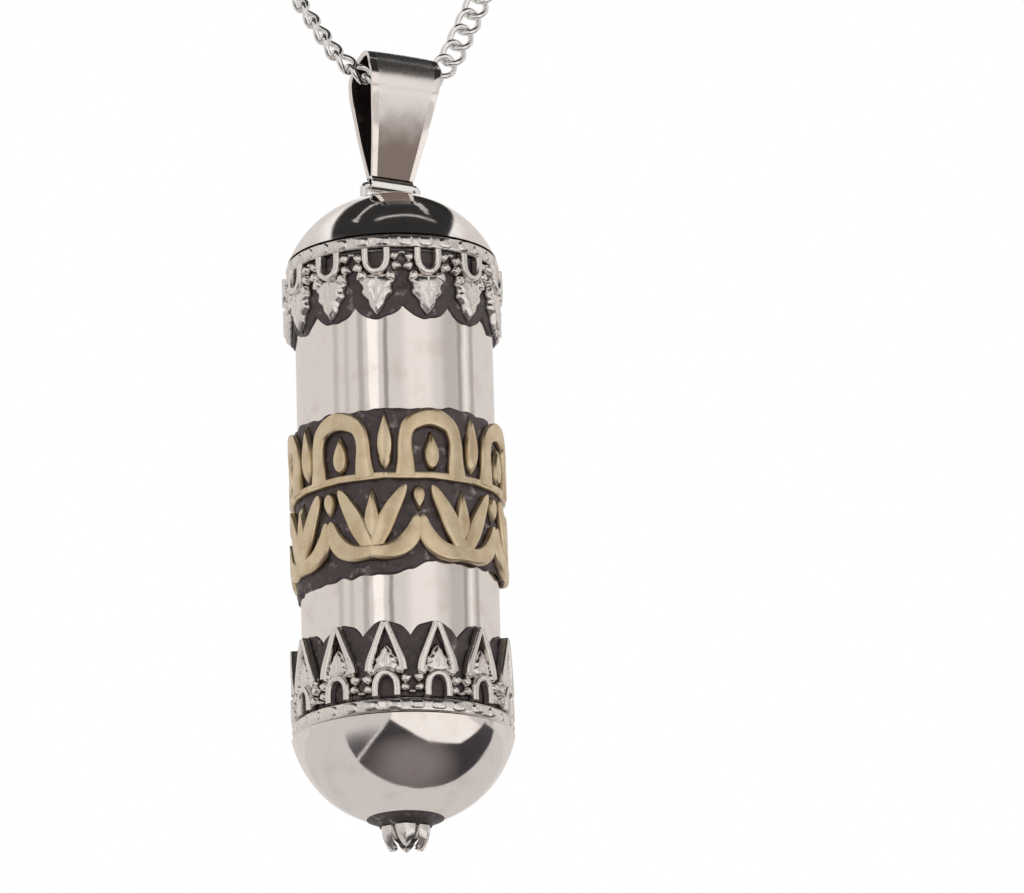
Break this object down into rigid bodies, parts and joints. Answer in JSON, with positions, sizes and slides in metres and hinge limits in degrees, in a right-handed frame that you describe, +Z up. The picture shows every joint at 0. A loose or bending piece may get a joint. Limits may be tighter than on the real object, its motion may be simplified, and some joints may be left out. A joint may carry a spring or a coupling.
{
  "type": "mezuzah case",
  "caption": "Silver capsule pendant with screw cap, rolled parchment inside, folded bail and a taut length of fine neck chain",
  "frame": {"origin": "middle of the neck chain where it passes through the bail, which is where the pendant hangs", "axes": "+Z up along the capsule's axis, +X along the bail's width and the chain, -Y towards the front"},
  "size_m": [0.0239, 0.0112, 0.0591],
  "materials": {
    "polished_silver": "hand-polished sterling silver with fine wear",
    "relief_silver": "cast silver relief, bright on top and dark in its hollows",
    "oxidised_silver": "blackened, slightly pitted silver",
    "gold": "pale champagne gold, soft satin",
    "bail_silver": "polished sheet silver",
    "chain_silver": "bright polished silver wire",
    "spring_steel": "bare spring wire",
    "parchment": "matte animal-skin parchment",
    "tie": "twisted linen thread"
  },
  "bodies": {
    "neck_chain": {"neck_chain": "chain_silver", "chain_end_left": "chain_silver", "chain_end_right": "chain_silver", "jump_ring": "chain_silver", "clasp_body": "chain_silver", "clasp_spring": "spring_steel"},
    "clasp_bolt": {"clasp_trigger": "chain_silver"},
    "bail": {"bail_strip": "bail_silver", "bail_knuckle": "bail_silver"},
    "capsule": {"bail_staple": "bail_silver", "band_plate": "oxidised_silver", "capsule_tube": "polished_silver", "foot_bead_ring": "relief_silver", "foot_gallery": "relief_silver", "foot_gallery_backing": "oxidised_silver", "gold_arch_1": "gold", "gold_arch_2": "gold", "gold_arch_3": "gold", "gold_arch_4": "gold", "gold_arch_5": "gold", "gold_arch_6": "gold", "gold_arch_7": "gold", "gold_palmette_1": "gold", "gold_palmette_2": "gold", "gold_palmette_3": "gold", "gold_palmette_4": "gold", "gold_palmette_5": "gold", "gold_palmette_6": "gold", "gold_palmette_7": "gold", "thread_collar": "polished_silver", "top_bead_ring": "relief_silver", "top_dome": "polished_silver", "top_gallery": "relief_silver", "top_gallery_backing": "oxidised_silver"},
    "scroll": {"parchment_scroll": "parchment", "scroll_tie": "tie"},
    "cap": {"cap_spigot": "polished_silver", "foot_dome": "polished_silver", "finial_ring": "oxidised_silver", "finial_crown": "relief_silver", "finial_pin": "polished_silver"}
  },
  "joints": [
    {"name": "bail_swing", "type": "hinge", "parent": "neck_chain", "child": "bail", "pos_m": [0, 0, 0], "axis": [1, 0, 0], "range_deg": [-60, 60]},
    {"name": "capsule_swing", "type": "hinge", "parent": "bail", "child": "capsule", "pos_m": [0, 0, -0.00561], "axis": [1, 0, 0], "range_deg": [-60, 60]},
    {"name": "cap_travel", "type": "slide", "parent": "capsule", "child": "scroll", "axis": [0, 0, -1], "range_m": [0, 0.0024]},
    {"name": "cap_turn", "type": "hinge", "parent": "scroll", "child": "cap", "pos_m": [0, 0, -0.03461], "axis": [0, 0, 1], "range_deg": [-1441, 1]},
    {"name": "clasp_bolt_slide", "type": "hinge", "parent": "neck_chain", "child": "clasp_bolt", "pos_m": [0.01051, 0, 0.01644], "axis": [-0.9063, 0, 0.4226], "range_deg": [0, 50], "stiffness_Nm_per_rad": 0.0015, "springref_deg": -28.65, "deforming": ["clasp_spring"]}
  ],
  "couplings": [
    {"joint": "cap_turn", "follows": "cap_travel", "rad_per_m": -10472}
  ]
}
